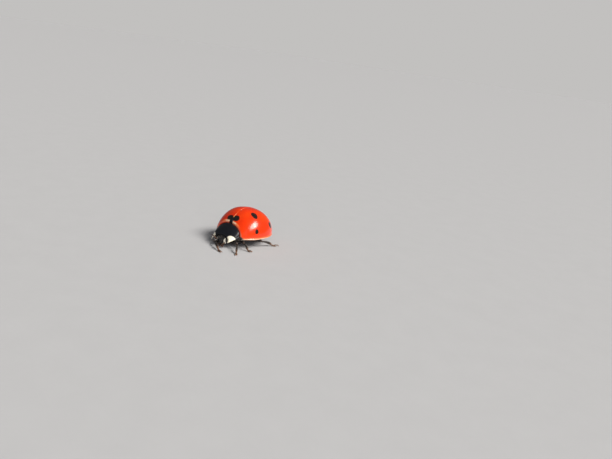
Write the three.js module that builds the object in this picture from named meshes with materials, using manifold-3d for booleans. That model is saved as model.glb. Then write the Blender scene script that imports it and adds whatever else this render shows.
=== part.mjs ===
// A seven-spot ladybird (Coccinella septempunctata) at life size, standing with its head bowed.
// Millimetres. -Y is ahead of the head, +X is the animal's own left, +Z is up, and the floor is z = 0.
import * as THREE from "three";
import { mergeVertices } from "three/addons/utils/BufferGeometryUtils.js";
import Module from "manifold-3d";

const wasm = await Module();
wasm.setup();

// ---------------------------------------------------------------- driving dimensions
const GAP = 0.04; // clear space between neighbouring pieces
const SEAM = 0.02; // clear space between the two wing cases
const MARGIN_Z = 1.15; // height of the wing cases' lower edge
const APEX_CROWD = 0.75; // how far the rings of the dome crowd towards its hind tip
const ROD_END = 0.6; // how blunt the ends of the limbs' rods are
const ROUND = 0.95; // under 1 squares the dome's cross-section a little
const ELYTRA = {
  baseY: -1.4, // where the wing cases meet the pronotum
  apexY: 3.89,
  widestY: 0.71,
  halfWidth: 2.73,
  frontEndY: -1.97, // where the plan outline would close in front
  highestY: 0.54,
  height: 2.65, // of the dome above its lower edge
  profileEndY: -2.07, // where the side profile would close in front
  thick: 0.5,
  rimRise: 0.12, // how much higher the inner side of the turned-in lower edge lies
  rings: 14,
  shoulderAhead: 0.1, // how far the shoulders reach past the middle of the base
  shoulderSweep: 2.2, // how late across the dome its base starts to sweep ahead
  // How square each curve is: the exponent inside the root, and the root.
  planBack: [2.15, 0.5],
  planFront: [2.6, 0.5],
  profileBack: [2.3, 0.55],
  profileFront: [1.93, 0.81],
};
const SCUTELLUM = { half: 0.27, length: 0.42 };
const PRONOTUM = {
  baseY: -1.44,
  length: 0.95, // along the middle
  baseHalf: 1.74,
  frontHalf: 1.25,
  edgeBaseZ: 1.22,
  edgeDrop: 0.49, // from hind corner to front corner
  topBaseZ: 2.47,
  topDrop: 1.03, // along the middle, from the hind edge to the front edge
  topBend: 0.2, // the share of that drop which comes late
  shoulderBack: 0.1, // how far the hind corners lie ahead of the middle
  cornerAhead: 0.3, // how far the front corners reach past the middle
  sideTaper: 0.2, // narrowing that is even from hind to front
  sweep: 2.2, // how late across the shield its edges start to sweep ahead
  arch: 0.9, // under 1 squares its arch a little
  thickBase: 0.45,
  thickFront: 0.22,
};
const BODY = {
  splitY: 0.75, // between thorax and abdomen
  bellyDeep: 0.5, // below the wing cases' lower edge
  bellyDeepestY: -0.2,
  bellyFlatten: 3.4,
  narrowBelow: 0.6, // half width at which the belly starts to flatten out at the hind tip
  ringStep: 0.42,
};
const PROTHORAX = { reach: 0.62, bottomZ: 0.64 };
const HEAD = { y: -2.17, z: 0.86, half: 0.78, reach: 0.43, tall: 0.54, taper: 0.34, lean: 0.06 };
const EYE = { x: 0.68, y: -2.23, z: 0.88, halfWide: 0.22, halfDeep: 0.27, halfTall: 0.31 };
const MOUTH = { y: -2.41, z: 0.46, halfWide: 0.4, halfDeep: 0.27, halfTall: 0.22 };
// The pronotum and all ahead of it roll to the animal's right, about a line along the body, and
// lie a little further ahead to clear the wing cases.
const ROLL = { degrees: 7, x: 0.9, z: 0.95, ahead: 0.03 };
const COLOURS = {
  red: 0xc81e05,
  black: 0x0b0b0d,
  eye: 0x050506,
  brown: 0x2a1a10,
};
const ROUGH = { shell: 0.25, body: 0.45, leg: 0.4 };

// ---------------------------------------------------------------- solids
// A closed geometry as a manifold solid, facing out whichever way its formula turned it.
function solidOf(geometry) {
  const bare = geometry.clone();
  bare.deleteAttribute("normal");
  bare.deleteAttribute("uv");
  const merged = mergeVertices(bare, 1e-5);
  const triVerts = new Uint32Array(merged.index.array);
  const vertProperties = new Float32Array(merged.attributes.position.array);
  const make = () => new wasm.Manifold(new wasm.Mesh({ numProp: 3, vertProperties, triVerts }));
  let made = make();
  if (made.volume() < 0) {
    for (let i = 0; i < triVerts.length; i += 3) {
      [triVerts[i + 1], triVerts[i + 2]] = [triVerts[i + 2], triVerts[i + 1]];
    }
    made = make();
  }
  return made;
}

function geometryOf(solid) {
  const { numProp, numVert, vertProperties, triVerts } = solid.getMesh();
  const position = new Float32Array(numVert * 3);
  for (let i = 0; i < numVert; i++) {
    position.set(vertProperties.subarray(i * numProp, i * numProp + 3), i * 3);
  }
  const geometry = new THREE.BufferGeometry();
  geometry.setAttribute("position", new THREE.BufferAttribute(position, 3));
  geometry.setIndex(new THREE.BufferAttribute(triVerts, 1));
  geometry.computeVertexNormals();
  return geometry;
}

// A tube of rings with flat ends: section(t, angle) is the point of the ring at t (0 to 1) and
// angle (0 is straight up, a quarter turn is the animal's left).
function loft(section, around, along) {
  const geometry = new THREE.CylinderGeometry(1, 1, 1, around, along);
  const position = geometry.attributes.position;
  for (let i = 0; i < position.count; i++) {
    const x = position.getX(i);
    const z = position.getZ(i);
    const t = position.getY(i) + 0.5;
    const radius = Math.min(1, Math.hypot(x, z));
    const rim = section(t, Math.atan2(x, z));
    const middle = section(t, Math.PI).add(section(t, 0)).multiplyScalar(0.5);
    const point = middle.lerp(rim, radius < 0.5 ? 0 : 1);
    position.setXYZ(i, point.x, point.y, point.z);
  }
  return solidOf(geometry);
}

// A curved plate: point(s, t, outer) is the place on its outer or inner face at s and t, 0 to 1.
function plate(point, across, along) {
  const geometry = new THREE.BoxGeometry(1, 1, 1, across, along, 1);
  const position = geometry.attributes.position;
  for (let i = 0; i < position.count; i++) {
    const outer = position.getZ(i) > 0;
    const place = point(position.getX(i) + 0.5, position.getY(i) + 0.5, outer);
    position.setXYZ(i, place.x, place.y, place.z);
  }
  return solidOf(geometry);
}

// A box cutter, as a solid.
function block(from, to) {
  const size = new THREE.Vector3().subVectors(to, from);
  const geometry = new THREE.BoxGeometry(size.x, size.y, size.z);
  const middle = new THREE.Vector3().addVectors(from, to).multiplyScalar(0.5);
  geometry.translate(middle.x, middle.y, middle.z);
  return solidOf(geometry);
}

function ellipsoid(centre, radii, around, along) {
  const geometry = new THREE.SphereGeometry(1, around, along);
  geometry.scale(radii.x, radii.y, radii.z);
  geometry.translate(centre.x, centre.y, centre.z);
  return solidOf(geometry);
}

const vec = (x, y, z) => new THREE.Vector3(x, y, z);
const clamp01 = (v) => THREE.MathUtils.clamp(v, 0, 1);
const FAR = 20;

// ---------------------------------------------------------------- the dome
// Falls from 1 to 0 as away goes from 0 to 1, along a curve of the given squareness.
const fall = (away, [inside, root]) => (1 - clamp01(away) ** inside) ** root;

// Half width and height of the wing cases, taken in from the outside by inset.
function domeHalfWidth(y, inset = 0) {
  const { widestY, apexY, frontEndY, halfWidth, planBack, planFront } = ELYTRA;
  const back = fall((y - widestY) / (apexY - inset - widestY), planBack);
  const front = fall((widestY - y) / (widestY - frontEndY), planFront);
  return (halfWidth - inset) * Math.min(back, front);
}

function domeHeight(y, inset = 0) {
  const { highestY, apexY, profileEndY, height, profileBack, profileFront } = ELYTRA;
  const back = fall((y - highestY) / (apexY - inset - highestY), profileBack);
  const front = fall((highestY - y) / (highestY - profileEndY), profileFront);
  return (height - inset) * Math.min(back, front);
}

// A point of the dome's skin; turn is 0 at the top and a quarter turn at the edge.
function domePoint(y, turn, inset, under = 0) {
  const across = Math.sin(turn);
  const up = Math.cos(turn);
  const tall = up > 0 ? domeHeight(y, inset) : under;
  const nearBase = clamp01((ELYTRA.widestY - y) / (ELYTRA.widestY - ELYTRA.baseY));
  const ahead = ELYTRA.shoulderAhead * nearBase ** 4 * Math.abs(across) ** ELYTRA.shoulderSweep;
  return vec(
    domeHalfWidth(y, inset) * Math.sign(across) * Math.abs(across) ** ROUND,
    y - ahead,
    MARGIN_Z + Math.sign(up) * tall * Math.abs(up) ** ROUND,
  );
}

// Distance from the middle line to the wing case's inner edge: wider beside the scutellum.
const besideScutellum = (y) => SCUTELLUM.half * clamp01(1 - (y - ELYTRA.baseY) / SCUTELLUM.length);
const turnAt = (x, y, inset) => Math.asin(clamp01(x / domeHalfWidth(y, inset)) ** (1 / ROUND));

// One wing case: an arched plate from the middle line to the lower edge. side is 1 for the left one.
function elytron(side) {
  const { baseY, apexY, thick, rimRise } = ELYTRA;
  return plate(
    (s, t, outer) => {
      const inset = outer ? 0 : thick;
      const ring = t * ELYTRA.rings;
      const step = SCUTELLUM.length;
      const rest = clamp01((ring - 1) / (ELYTRA.rings - 1));
      const spread = THREE.MathUtils.lerp(rest, Math.sin((rest * Math.PI) / 2), APEX_CROWD);
      const y = baseY + Math.min(1, ring) * step + spread * (apexY - inset - baseY - step);
      const inner = domeHalfWidth(y, inset) > 0 ? turnAt(besideScutellum(y), y, inset) : 0;
      const point = domePoint(y, THREE.MathUtils.lerp(inner, Math.PI / 2, s), inset);
      const rim = outer ? 0 : rimRise * s ** 6;
      return vec(side * (point.x + SEAM / 2), point.y, point.z + rim);
    },
    14,
    ELYTRA.rings,
  );
}

// The small triangular plate between the bases of the wing cases.
function scutellum() {
  return plate(
    (s, t, outer) => {
      const inset = outer ? 0 : ELYTRA.thick;
      const y = ELYTRA.baseY + t * (SCUTELLUM.length - 2 * GAP);
      const half = turnAt(Math.max(0, besideScutellum(y) - 2 * GAP * (1 - t)), y, inset);
      return domePoint(y, (2 * s - 1) * half, inset);
    },
    4,
    3,
  );
}

// How far the belly hangs below the wing cases' lower edge.
function bellyUnder(y, inset) {
  const { bellyDeep, bellyDeepestY, bellyFlatten } = BODY;
  const away = Math.abs(y - bellyDeepestY) / (ELYTRA.apexY - bellyDeepestY);
  const narrow = Math.min(1, domeHalfWidth(y, inset) / BODY.narrowBelow);
  return bellyDeep * clamp01(1 - away ** bellyFlatten) * narrow;
}

// The body under the wing cases, from one cross ring to another, grown by extra.
function trunk(fromY, toY, extra = 0) {
  const inset = ELYTRA.thick + GAP - extra;
  const lastY = Math.min(toY, ELYTRA.apexY - inset);
  return loft(
    (t, angle) => {
      const y = THREE.MathUtils.lerp(lastY, fromY, t);
      return domePoint(y, angle, inset, bellyUnder(y, inset) + extra);
    },
    24,
    Math.ceil((lastY - fromY) / BODY.ringStep),
  );
}

// ---------------------------------------------------------------- pronotum and prothorax
// across is -1 to 1 over the shield, ahead 0 at its hind edge and 1 at its front edge.
function pronotumPoint(across, ahead, inset = 0) {
  const p = PRONOTUM;
  const curvedTaper = p.baseHalf - p.frontHalf - p.sideTaper;
  const edgeX = p.baseHalf - p.sideTaper * ahead - curvedTaper * ahead ** 2 - inset;
  const edgeZ = p.edgeBaseZ - p.edgeDrop * ahead;
  const topZ = p.topBaseZ - p.topDrop * ((1 - p.topBend) * ahead + p.topBend * ahead ** 2) - inset;
  const turn = (across * Math.PI) / 2;
  const swept = THREE.MathUtils.lerp(p.shoulderBack, p.cornerAhead, ahead) * Math.abs(across) ** p.sweep;
  const y = p.baseY - p.length * ahead - swept;
  return vec(edgeX * Math.sin(turn), y, edgeZ + (topZ - edgeZ) * Math.cos(turn) ** p.arch);
}

// The shield, thinner towards its front edge, with room for the head under it.
function pronotum() {
  const shield = plate(
    (s, t, outer) => {
      const thick = THREE.MathUtils.lerp(PRONOTUM.thickBase, PRONOTUM.thickFront, t);
      return pronotumPoint(2 * s - 1, t, outer ? 0 : thick);
    },
    20,
    7,
  );
  return shield.subtract(headRoom());
}

// What fills the pronotum and carries the front legs, grown by extra.
function prothorax(extra = 0) {
  return loft(
    (t, angle) => {
      const ahead = (PROTHORAX.reach + extra) * (1 - t);
      const inset = PRONOTUM.thickBase + GAP - extra;
      if (Math.abs(angle) <= Math.PI / 2) return pronotumPoint(angle / (Math.PI / 2), ahead, inset);
      const side = pronotumPoint(Math.sign(angle), ahead, inset);
      const turn = Math.abs(angle) - Math.PI / 2;
      const low = PROTHORAX.bottomZ - extra;
      return vec(side.x * Math.cos(turn), side.y, side.z - (side.z - low) * Math.sin(turn) ** 0.7);
    },
    28,
    4,
  );
}

// ---------------------------------------------------------------- head
// The head capsule, a tapering egg on end, grown by extra.
function headBlank(extra) {
  const h = HEAD;
  return loft(
    (t, angle) => {
      const along = -Math.cos(t * Math.PI); // -1 at the crown, 1 at the mouth
      const round = Math.sqrt(Math.max(0, 1 - Math.abs(along) ** 3));
      const wide = (h.half + extra) * round * (along > 0 ? 1 - h.taper * along ** 1.5 : 1);
      const deep = (h.reach + extra) * round;
      const z = h.z - (h.tall + extra) * along;
      return vec(wide * Math.sin(angle), h.y - deep * Math.cos(angle) - h.lean * along, z);
    },
    20,
    10,
  );
}

function eyeBlank(side, extra) {
  const radii = vec(EYE.halfWide + extra, EYE.halfDeep + extra, EYE.halfTall + extra);
  return ellipsoid(vec(side * EYE.x, EYE.y, EYE.z), radii, 12, 8);
}

// Turns a piece of the front of the body with the animal's roll.
function rolled(solid) {
  const turned = solid.translate([-ROLL.x, 0, -ROLL.z]).rotate([0, -ROLL.degrees, 0]);
  return turned.translate([ROLL.x, -ROLL.ahead, ROLL.z]);
}

function headRoom() {
  return headBlank(GAP).add(eyeBlank(1, GAP)).add(eyeBlank(-1, GAP)).add(mouthBlank(GAP));
}

function mouthBlank(extra) {
  const radii = vec(MOUTH.halfWide + extra, MOUTH.halfDeep + extra, MOUTH.halfTall + extra);
  return ellipsoid(vec(0, MOUTH.y, MOUTH.z), radii, 12, 8);
}

function head() {
  const sockets = eyeBlank(1, GAP).add(eyeBlank(-1, GAP)).add(mouthBlank(GAP));
  return headBlank(0).subtract(sockets);
}

// ---------------------------------------------------------------- limbs
// A rounded rod from one point to another; radius(s) is for s from 0 to 1.
function rod(from, to, radius, around = 10, along = 6) {
  const axis = new THREE.Vector3().subVectors(to, from);
  const level = vec(-axis.y, axis.x, 0).normalize();
  const up = new THREE.Vector3().crossVectors(axis, level).normalize();
  return loft(
    (t, angle) => {
      const s = (1 - Math.cos(t * Math.PI)) / 2;
      const r = radius(s) * Math.sin(t * Math.PI) ** ROD_END;
      return from
        .clone()
        .addScaledVector(axis, s)
        .addScaledVector(level, r * Math.sin(angle))
        .addScaledVector(up, r * Math.cos(angle));
    },
    around,
    along,
  );
}

// The half space ahead of a plane through point, facing along normal, as a cutter.
function slabAhead(point, normal) {
  const geometry = new THREE.BoxGeometry(FAR, FAR, FAR);
  geometry.translate(0, 0, FAR / 2);
  const turn = new THREE.Quaternion().setFromUnitVectors(vec(0, 0, 1), normal.clone().normalize());
  geometry.applyQuaternion(turn);
  geometry.translate(point.x, point.y, point.z);
  return solidOf(geometry);
}

// Cuts the end of a limb piece square to the bend between it and the next piece.
function trimmed(solid, before, joint, after) {
  const inward = new THREE.Vector3().subVectors(joint, before).normalize();
  const onward = new THREE.Vector3().subVectors(after, joint).normalize();
  const normal = inward.add(onward).normalize();
  const backward = normal.clone().negate();
  return {
    near: () => solid.subtract(slabAhead(joint.clone().addScaledVector(normal, -GAP / 2), normal)),
    far: () => solid.subtract(slabAhead(joint.clone().addScaledVector(normal, GAP / 2), backward)),
  };
}

// Hip, knee, ankle and toe of each leg.
const LEGS = {
  left_front: [
    vec(0.47, -1.74, 0.48),
    vec(1.8, -1.9, 0.7),
    vec(2.55, -2.65, 0.26),
    vec(3.02, -3.1, 0.19),
  ],
  left_middle: [
    vec(0.72, -0.72, 0.6),
    vec(1.98, -1.14, 0.74),
    vec(2.5, -1.06, 0.26),
    vec(3.04, -0.92, 0.19),
  ],
  left_hind: [
    vec(0.8, 0.4, 0.6),
    vec(2.35, 1.08, 0.74),
    vec(2.48, 2.44, 0.26),
    vec(2.88, 3.24, 0.19),
  ],
  right_front: [
    vec(-0.36, -1.74, 0.4),
    vec(-0.62, -2.92, 0.47),
    vec(0.84, -3.6, 0.26),
    vec(1.68, -3.86, 0.19),
  ],
  right_middle: [
    vec(-0.72, -0.72, 0.6),
    vec(-2.25, -0.4, 0.74),
    vec(-2.95, 0.45, 0.26),
    vec(-3.3, 1.05, 0.19),
  ],
  right_hind: [
    vec(-0.8, 0.4, 0.6),
    vec(-2.3, 1.25, 0.74),
    vec(-2.75, 2.4, 0.26),
    vec(-3.12, 3.1, 0.19),
  ],
};
// Half thicknesses, how far a rod runs past its joint before it is trimmed, and the coxa's share
// of the way from hip to knee.
const LIMB = {
  coxa: 0.28,
  femur: 0.25,
  femurSwell: 0.16, // how much thicker, as a share, the femur's middle is than its ends
  tibia: 0.25,
  tarsus: 0.25,
  overrun: 0.16,
  coxaShare: 0.24,
};

function leg([hip, knee, ankle, toe]) {
  const past = (a, b, by) => b.clone().addScaledVector(new THREE.Vector3().subVectors(b, a).normalize(), by);
  const start = hip.clone().lerp(knee, LIMB.coxaShare);
  const femurRadius = (s) => LIMB.femur * (1 + LIMB.femurSwell * (Math.sin(Math.PI * s) - 0.5));
  const coxa = rod(past(start, hip, LIMB.overrun), past(hip, start, LIMB.overrun), () => LIMB.coxa, 10, 6);
  const femur = rod(past(knee, start, LIMB.overrun), past(start, knee, LIMB.overrun), femurRadius, 12, 8);
  const tibia = rod(past(ankle, knee, LIMB.overrun), past(knee, ankle, LIMB.overrun), () => LIMB.tibia);
  const tarsus = rod(past(toe, ankle, LIMB.overrun), toe, () => LIMB.tarsus);
  const floor = block(vec(-FAR, -FAR, -FAR), vec(FAR, FAR, 0));
  const body = keepOut();
  const cutStart = (s) => trimmed(s, hip, start, knee);
  const cutKnee = (s) => trimmed(s, start, knee, ankle);
  const cutAnkle = (s) => trimmed(s, knee, ankle, toe);
  return {
    coxa: cutStart(coxa).near().subtract(body),
    femur: cutKnee(cutStart(femur).far()).near().subtract(body),
    tibia: cutAnkle(cutKnee(tibia).far()).near(),
    tarsus: cutAnkle(tarsus).far().subtract(floor),
  };
}

// The room the limbs leave to the body.
function keepOut() {
  const trunkRoom = trunk(ELYTRA.baseY - GAP, FAR, GAP);
  return trunkRoom.add(rolled(prothorax(GAP).add(headRoom())));
}

// ---------------------------------------------------------------- feelers and mouth
// A rounded rod along a smooth curve through points.
function bentRod(points, radius, around = 8, along = 8) {
  const curve = new THREE.CatmullRomCurve3(points);
  return loft(
    (t, angle) => {
      const s = (1 - Math.cos(t * Math.PI)) / 2;
      const tangent = curve.getTangent(s);
      const level = vec(-tangent.y, tangent.x, 0).normalize();
      const up = new THREE.Vector3().crossVectors(tangent, level);
      const r = radius(s) * Math.sin(t * Math.PI) ** ROD_END;
      const place = curve.getPoint(s);
      return place.addScaledVector(level, r * Math.sin(angle)).addScaledVector(up, r * Math.cos(angle));
    },
    around,
    along,
  );
}

const FEELER = { root: 0.23, swell: 0.03 }; // half thickness at its root, and what its club adds
const ANTENNAE = {
  left: [vec(0.6, -2.48, 0.66), vec(0.76, -2.8, 0.7), vec(0.84, -3.12, 0.64)],
  right: [vec(-0.58, -2.52, 1.0), vec(-0.72, -2.84, 1.28), vec(-0.74, -3.14, 1.42)],
};

function antenna(points) {
  return bentRod(points, (s) => FEELER.root + FEELER.swell * s).subtract(headRoom());
}

// ---------------------------------------------------------------- the animal
const model = new THREE.Group();

function add(group, name, solid, colour, roughness) {
  const material = new THREE.MeshStandardMaterial({ color: colour, roughness, metalness: 0 });
  const mesh = new THREE.Mesh(geometryOf(solid), material);
  mesh.name = name;
  group.add(mesh);
}

function subgroup() {
  const group = new THREE.Group();
  model.add(group);
  return group;
}

const SIDES = { left: 1, right: -1 };
const shell = subgroup();
for (const [side, sign] of Object.entries(SIDES)) {
  add(shell, `elytron_${side}`, elytron(sign), COLOURS.red, ROUGH.shell);
}
add(shell, "scutellum", scutellum(), COLOURS.black, ROUGH.shell);
add(shell, "pronotum", rolled(pronotum()), COLOURS.black, ROUGH.shell);

const body = subgroup();
add(body, "prothorax", rolled(prothorax().subtract(headRoom())), COLOURS.black, ROUGH.body);
add(body, "thorax", trunk(ELYTRA.baseY + GAP, BODY.splitY - GAP / 2), COLOURS.black, ROUGH.body);
add(body, "abdomen", trunk(BODY.splitY + GAP / 2, FAR), COLOURS.black, ROUGH.body);

const face = subgroup();
add(face, "head", rolled(head()), COLOURS.black, ROUGH.body);
add(face, "mouth", rolled(mouthBlank(0)), COLOURS.brown, ROUGH.body);
for (const [side, sign] of Object.entries(SIDES)) {
  add(face, `eye_${side}`, rolled(eyeBlank(sign, 0)), COLOURS.eye, ROUGH.shell);
}
for (const [side, points] of Object.entries(ANTENNAE)) {
  add(face, `antenna_${side}`, rolled(antenna(points)), COLOURS.brown, ROUGH.leg);
}

for (const [name, joints] of Object.entries(LEGS)) {
  const limb = subgroup();
  for (const [piece, solid] of Object.entries(leg(joints))) {
    add(limb, `${name}_${piece}`, solid, COLOURS.black, ROUGH.leg);
  }
}

// The origin is on the floor, under the middle of the whole animal.
const extent = new THREE.Box3().setFromObject(model, true);
const middle = extent.getCenter(new THREE.Vector3());
model.position.set(-middle.x, -middle.y, 0);

export default model;
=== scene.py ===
"""The looks of a life-size seven-spot ladybird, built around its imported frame.

Shapes are worked out in millimetres, in the animal's own frame: -Y is ahead of the head, +X is the
animal's left, +Z is up and the floor is z = 0. add_piece turns them into metres in the frame's place.
"""

import math
from itertools import combinations
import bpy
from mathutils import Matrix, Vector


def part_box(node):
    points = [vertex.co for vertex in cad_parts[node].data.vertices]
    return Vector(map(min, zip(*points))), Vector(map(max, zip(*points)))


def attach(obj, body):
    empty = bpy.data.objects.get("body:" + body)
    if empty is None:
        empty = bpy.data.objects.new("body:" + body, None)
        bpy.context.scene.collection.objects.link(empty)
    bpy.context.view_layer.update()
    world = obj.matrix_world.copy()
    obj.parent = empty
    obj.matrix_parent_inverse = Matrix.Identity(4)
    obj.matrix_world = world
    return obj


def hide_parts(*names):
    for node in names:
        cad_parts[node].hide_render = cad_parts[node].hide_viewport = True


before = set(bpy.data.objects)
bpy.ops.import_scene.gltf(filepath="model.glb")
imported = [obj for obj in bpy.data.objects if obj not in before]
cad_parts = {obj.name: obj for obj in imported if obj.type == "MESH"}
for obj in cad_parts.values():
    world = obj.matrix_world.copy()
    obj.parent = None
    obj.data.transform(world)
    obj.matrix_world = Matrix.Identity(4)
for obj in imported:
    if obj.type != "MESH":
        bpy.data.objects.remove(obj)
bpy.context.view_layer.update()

from types import SimpleNamespace as Sizes

import bpy
import numpy as np
from mathutils import Matrix, Vector
from mathutils.kdtree import KDTree

MM = 0.001
SEAM = 0.02  # clear space between the solids of the two wing cases
HAIRLINE = 0.006  # clear space between their skins
FLOOR_GAP = 0.001  # what touches the floor is flattened this far above it
RIGHT_ANGLE = math.pi / 2
SIDES = {"left": 1, "right": -1}
UNMARKED = 0.4  # distance to a mark, in millimetres, where no mark is near

# ---- the animal's sizes
DOME = Sizes(
    base_y=-1.4, apex_y=3.89, widest_y=0.71, half_width=2.73, front_end_y=-1.97,
    highest_y=0.54, height=2.65, profile_end_y=-2.07, margin_z=1.15, shoulder_ahead=0.1, square=0.95,
    # How square each curve is: the exponent inside the root, and the root.
    plan_back=(2.15, 0.5), plan_front=(2.6, 0.5), profile_back=(2.3, 0.55), profile_front=(1.93, 0.81),
)
SCUTELLUM = Sizes(half=0.27, length=0.42, wall=0.15)
WING_CASE = Sizes(wall=0.14, shoulder_round=0.15, edge_wide=0.5, edge_narrows_y=0.9, edge_rise=0.1)
# Where they turn down at their base, the wing cases and the scutellum are this much thicker.
THICKER_BASE = Sizes(more=0.24, fades_from=0.05, fades_to=0.4)
SHIELD = Sizes(
    base_y=-1.44, length=0.95, base_half=1.74, front_half=1.25, edge_base_z=1.22, edge_drop=0.49,
    top_base_z=2.47, top_drop=1.03, shoulder_back=0.1, corner_ahead=0.3, side_taper=0.2, sweep=2.2, arch=0.9,
)
BELLY = Sizes(inset=0.54, first_y=-1.43, deep=0.5, deepest_y=-0.2, flatten=3.4, narrow_below=0.6)
PROTHORAX = Sizes(reach=0.66, inset=0.3, low_z=0.62)
HEAD = Sizes(y=-2.17, z=0.86, half=0.78, reach=0.43, tall=0.54, taper=0.34, lean=0.06)
EYE = Sizes(place=(0.7, -2.21, 0.88), radii=(0.2, 0.24, 0.3))  # the left one
# The pronotum and all ahead of it roll to the animal's right, about a line along the body.
ROLL = Sizes(degrees=7.0, x=0.9, z=0.95, ahead=0.03)

# The frame's origin is under the middle of the whole animal; the seam and the hind tip show where.
low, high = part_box("elytron_left")
PLACE = np.array([low.x / MM - SEAM / 2, high.y / MM - DOME.apex_y, 0.0])


# ---- numbers and curves
def unit(vectors):
    return vectors / np.maximum(np.linalg.norm(vectors, axis=-1, keepdims=True), 1e-9)


def point(*numbers):
    return np.array(numbers, float)


def xyz(x, y, z):
    """Points from their coordinates, each of them a number or an array."""
    return np.stack(np.broadcast_arrays(x, y, z), -1)


def rolled(points):
    """Turns points of the shield, the head or what they carry with the roll of the animal's front."""
    turn = math.radians(ROLL.degrees)
    x, z = points[..., 0] - ROLL.x, points[..., 2] - ROLL.z
    across = ROLL.x + x * math.cos(turn) - z * math.sin(turn)
    up = ROLL.z + x * math.sin(turn) + z * math.cos(turn)
    return xyz(across, points[..., 1] - ROLL.ahead, up)


def smooth(value, start, end):
    """0 before start, 1 after end, with soft ends between. It falls where end is below start."""
    t = np.clip((value - start) / (end - start), 0, 1)
    return t * t * (3 - 2 * t)


def bell(value, width):
    """1 where value is 0, falling away over about width."""
    return np.exp(-((value / width) ** 2))


def quarter_round(share, power=2, least=0.0):
    """Rises from 0 at share 0 to 1 at share 1 as a rounded edge does."""
    return np.sqrt(np.clip(1 - np.clip(1 - share, 0, 1) ** power, least, 1))


def ripple(points, size, seed):
    """Smooth unevenness, mostly from -1 to 1, whose hollows and bumps are about size across."""
    waves = 12
    random = np.random.default_rng(seed)
    directions = unit(random.normal(size=(waves, 3))) * random.uniform(0.7, 1.4, (waves, 1)) * math.pi / size
    phases = random.uniform(0, 2 * math.pi, waves)
    return np.sin(points @ directions.T + phases).sum(-1) / math.sqrt(waves)


def curve(points, steps):
    """A smooth line through a few points, evenly spaced, with steps points."""
    knots = np.array(points, float)
    knots = np.vstack([2 * knots[0] - knots[1], knots, 2 * knots[-1] - knots[-2]])
    fine = []
    for a, b, c, d in zip(knots, knots[1:], knots[2:], knots[3:]):
        t = np.linspace(0, 1, 24)[:, None]
        squared, cubed = 2 * a - 5 * b + 4 * c - d, 3 * b - a - 3 * c + d
        fine.append(0.5 * (2 * b + (c - a) * t + squared * t**2 + cubed * t**3))
    fine = np.vstack([part[:-1] for part in fine] + [fine[-1][-1:]])
    gone = np.concatenate([[0], np.cumsum(np.linalg.norm(np.diff(fine, axis=0), axis=1))])
    at = np.linspace(0, gone[-1], steps)
    return np.stack([np.interp(at, gone, fine[:, k]) for k in range(3)], -1)


# ---- meshes
def net_faces(rows, columns, closed=False):
    """The faces of a net of points. closed joins the last column to the first."""
    index = np.arange(rows * columns).reshape(rows, columns)
    if closed:
        index = np.hstack([index, index[:, :1]])
    return np.stack([index[:-1, :-1], index[:-1, 1:], index[1:, 1:], index[1:, :-1]], -1).reshape(-1, 4)


def outward_normals(net, closed=False):
    """A net's normals, away from the middle of its rings or, for an open net, of the body."""
    down = np.gradient(net, axis=0)
    around = (np.roll(net, -1, 1) - np.roll(net, 1, 1)) / 2 if closed else np.gradient(net, axis=1)
    normals = unit(np.cross(around, down))
    middle = net.mean(1, keepdims=True) if closed else point(0, 0.5, 1.0)
    return normals if np.einsum("ijk,ijk->", normals, net - middle) > 0 else -normals


def volume(points, faces):
    """Signed volume, above 0 where the faces' normals point out."""
    centred = points - points.mean(0)
    total = 0.0
    for face in faces:
        for k in range(1, face.shape[1] - 1):
            a, b, c = centred[face[:, 0]], centred[face[:, k]], centred[face[:, k + 1]]
            total += np.einsum("ij,ij->", a, np.cross(b, c))
    return total / 6


class Shape:
    """Closed surfaces gathered into one mesh, with named values at their points."""

    def __init__(self):
        self.points = []
        self.faces = []
        self.values = {}
        self.count = 0

    def add(self, points, *faces, **values):
        points = np.array(points, float).reshape(-1, 3)
        points[:, 2] = np.maximum(points[:, 2], FLOOR_GAP)
        if volume(points, faces) < 0:
            faces = [face[:, ::-1] for face in faces]
        self.faces += [face + self.count for face in faces]
        for name, value in values.items():
            flat = np.reshape(value, -1) if np.ndim(value) else value
            self.values.setdefault(name, []).append((self.count, np.broadcast_to(flat, len(points))))
        self.points.append(points)
        self.count += len(points)

    def add_rings(self, net, **values):
        """A tube of closed rings, with a point in the middle of each end."""
        rows, columns, _ = net.shape
        ends = np.stack([net[0].mean(0), net[-1].mean(0)])
        points = np.vstack([net.reshape(-1, 3), ends])
        first = np.arange(columns)
        last = first + (rows - 1) * columns
        centre = rows * columns
        near = np.stack([np.full(columns, centre), np.roll(first, -1), first], -1)
        far = np.stack([np.full(columns, centre + 1), last, np.roll(last, -1)], -1)
        full = {}
        for name, value in values.items():
            value = np.broadcast_to(value, (rows, columns))
            full[name] = np.concatenate([value.reshape(-1), [value[0].mean(), value[-1].mean()]])
        self.add(points, net_faces(rows, columns, closed=True), np.vstack([near, far]), **full)

    def add_plate(self, outer, inner, **values):
        """A plate between two nets of the same size, closed round its edge."""
        rows, columns, _ = outer.shape
        index = np.arange(rows * columns).reshape(rows, columns)
        edge = np.concatenate([index[0, :-1], index[:-1, -1], index[-1, :0:-1], index[:0:-1, 0]])
        step = rows * columns
        wall = np.stack([edge, np.roll(edge, -1), np.roll(edge, -1) + step, edge + step], -1)
        back = net_faces(rows, columns)[:, ::-1] + step
        full = {}
        for name, value in values.items():
            value = np.broadcast_to(value, (rows, columns)).reshape(-1)
            full[name] = np.concatenate([value, value])
        faces = np.vstack([net_faces(rows, columns), back, wall[:, ::-1]])
        self.add(np.vstack([outer.reshape(-1, 3), inner.reshape(-1, 3)]), faces, **full)


def new_object(name, data):
    made = bpy.data.objects.new(name, data)
    bpy.context.scene.collection.objects.link(made)
    return made


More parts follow.
